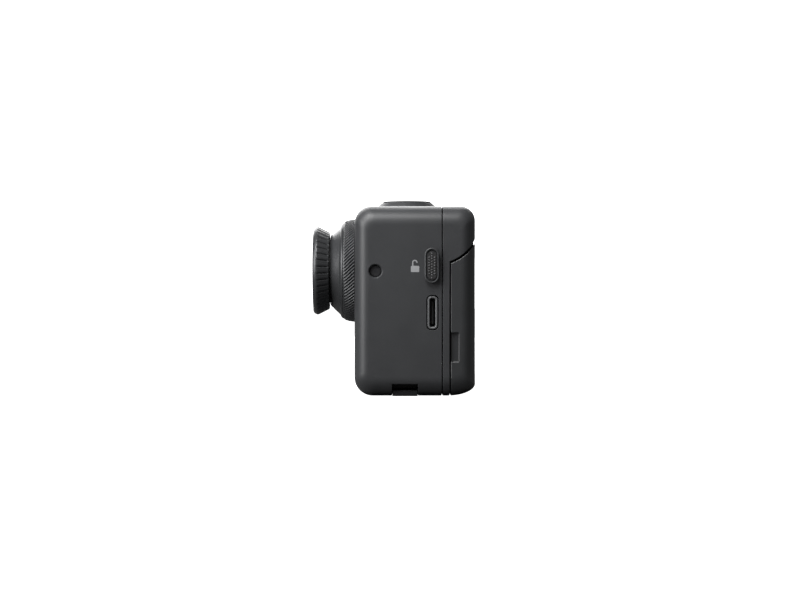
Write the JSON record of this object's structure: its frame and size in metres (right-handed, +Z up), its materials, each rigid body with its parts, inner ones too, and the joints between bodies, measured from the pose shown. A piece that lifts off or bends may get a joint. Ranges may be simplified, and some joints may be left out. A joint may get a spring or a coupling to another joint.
{
  "type": "action camera",
  "caption": "Compact action camera with a twist-off lens guard, a flip-up rear screen, a shutter button, a side lock slider and a mount plate underneath.",
  "frame": {"origin": "centre of the underside of the mount plate", "axes": "-X the way the lens looks, -Y the camera's own left side, +Z up"},
  "size_m": [0.0448, 0.0735, 0.0548],
  "materials": {
    "housing": "fine matt, charcoal",
    "soft_black": "soft matt black",
    "lens_ring": "satin charcoal anodised",
    "clear_glass": "coated, polished",
    "screen_glass": "black backed, polished",
    "steel": "satin",
    "board": "solder mask",
    "chip": "moulded",
    "battery_wrap": "matt sleeve",
    "magnet": "nickel plated",
    "alloy": "bead blasted"
  },
  "bodies": {
    "camera_body": {"battery": "battery_wrap", "battery_bay": "alloy", "card_reader": "alloy", "case_screw_left": "steel", "case_screw_right": "steel", "chassis_plate": "alloy", "display_window": "screen_glass", "door_pin": "steel", "door_seal": "soft_black", "friction_cup_left": "alloy", "friction_cup_right": "alloy", "front_element": "clear_glass", "front_housing": "housing", "heat_spreader": "alloy", "hinge_shaft": "steel", "housing_gasket": "soft_black", "image_sensor": "chip", "lens_barrel": "soft_black", "lens_base_ring": "lens_ring", "lens_cone": "lens_ring", "lock_spring": "steel", "main_board": "board", "memory_card": "chip", "mic_mesh": "steel", "microphone": "chip", "middle_element": "clear_glass", "mount_magnet_left": "magnet", "mount_magnet_right": "magnet", "mount_plate": "steel", "mount_screw_left": "steel", "mount_screw_right": "steel", "power_switch": "chip", "processor_shield": "alloy", "rear_element": "clear_glass", "rear_housing": "housing", "sensor_board": "board", "shutter_collar": "housing", "shutter_switch": "chip", "speaker": "chip", "status_display": "chip", "usb_shell": "steel", "usb_tongue": "chip"},
    "lens_guard": {"guard_ring": "lens_ring", "guard_gasket": "soft_black", "guard_glass": "clear_glass", "guard_retaining_ring": "lens_ring"},
    "shutter": {"shutter_button": "soft_black"},
    "power": {"power_button": "soft_black"},
    "lock": {"lock_slider": "housing", "lock_pad": "soft_black", "lock_bolt": "steel"},
    "door": {"battery_door": "housing"},
    "flip_screen": {"screen_shell": "housing", "screen_glass": "screen_glass", "display_panel": "chip", "screen_board": "board", "screen_magnet_left": "magnet", "screen_magnet_right": "magnet", "hinge_arm": "alloy"}
  },
  "joints": [
    {"name": "guard_twist", "type": "hinge", "parent": "camera_body", "child": "lens_guard", "pos_m": [-0.0234, -0.016, 0.0345], "axis": [-1, 0, 0], "range_deg": [0, 45]},
    {"name": "shutter_press", "type": "slide", "parent": "camera_body", "child": "shutter", "axis": [0, 0, -1], "range_m": [0, 0.0006], "stiffness_N_per_m": 2000, "springref_m": -0.0003},
    {"name": "power_press", "type": "slide", "parent": "camera_body", "child": "power", "axis": [0, -1, 0], "range_m": [0, 0.0005], "stiffness_N_per_m": 1500, "springref_m": -0.0003},
    {"name": "lock_slide", "type": "slide", "parent": "camera_body", "child": "lock", "axis": [0, 0, -1], "range_m": [0, 0.002]},
    {"name": "door_swing", "type": "hinge", "parent": "camera_body", "child": "door", "pos_m": [0, 0.0349, 0.007], "axis": [-1, 0, 0], "range_deg": [0, 90]},
    {"name": "screen_flip", "type": "hinge", "parent": "camera_body", "child": "flip_screen", "pos_m": [0.0154, 0, 0.0474], "axis": [0, -1, 0], "range_deg": [0, 180]}
  ]
}
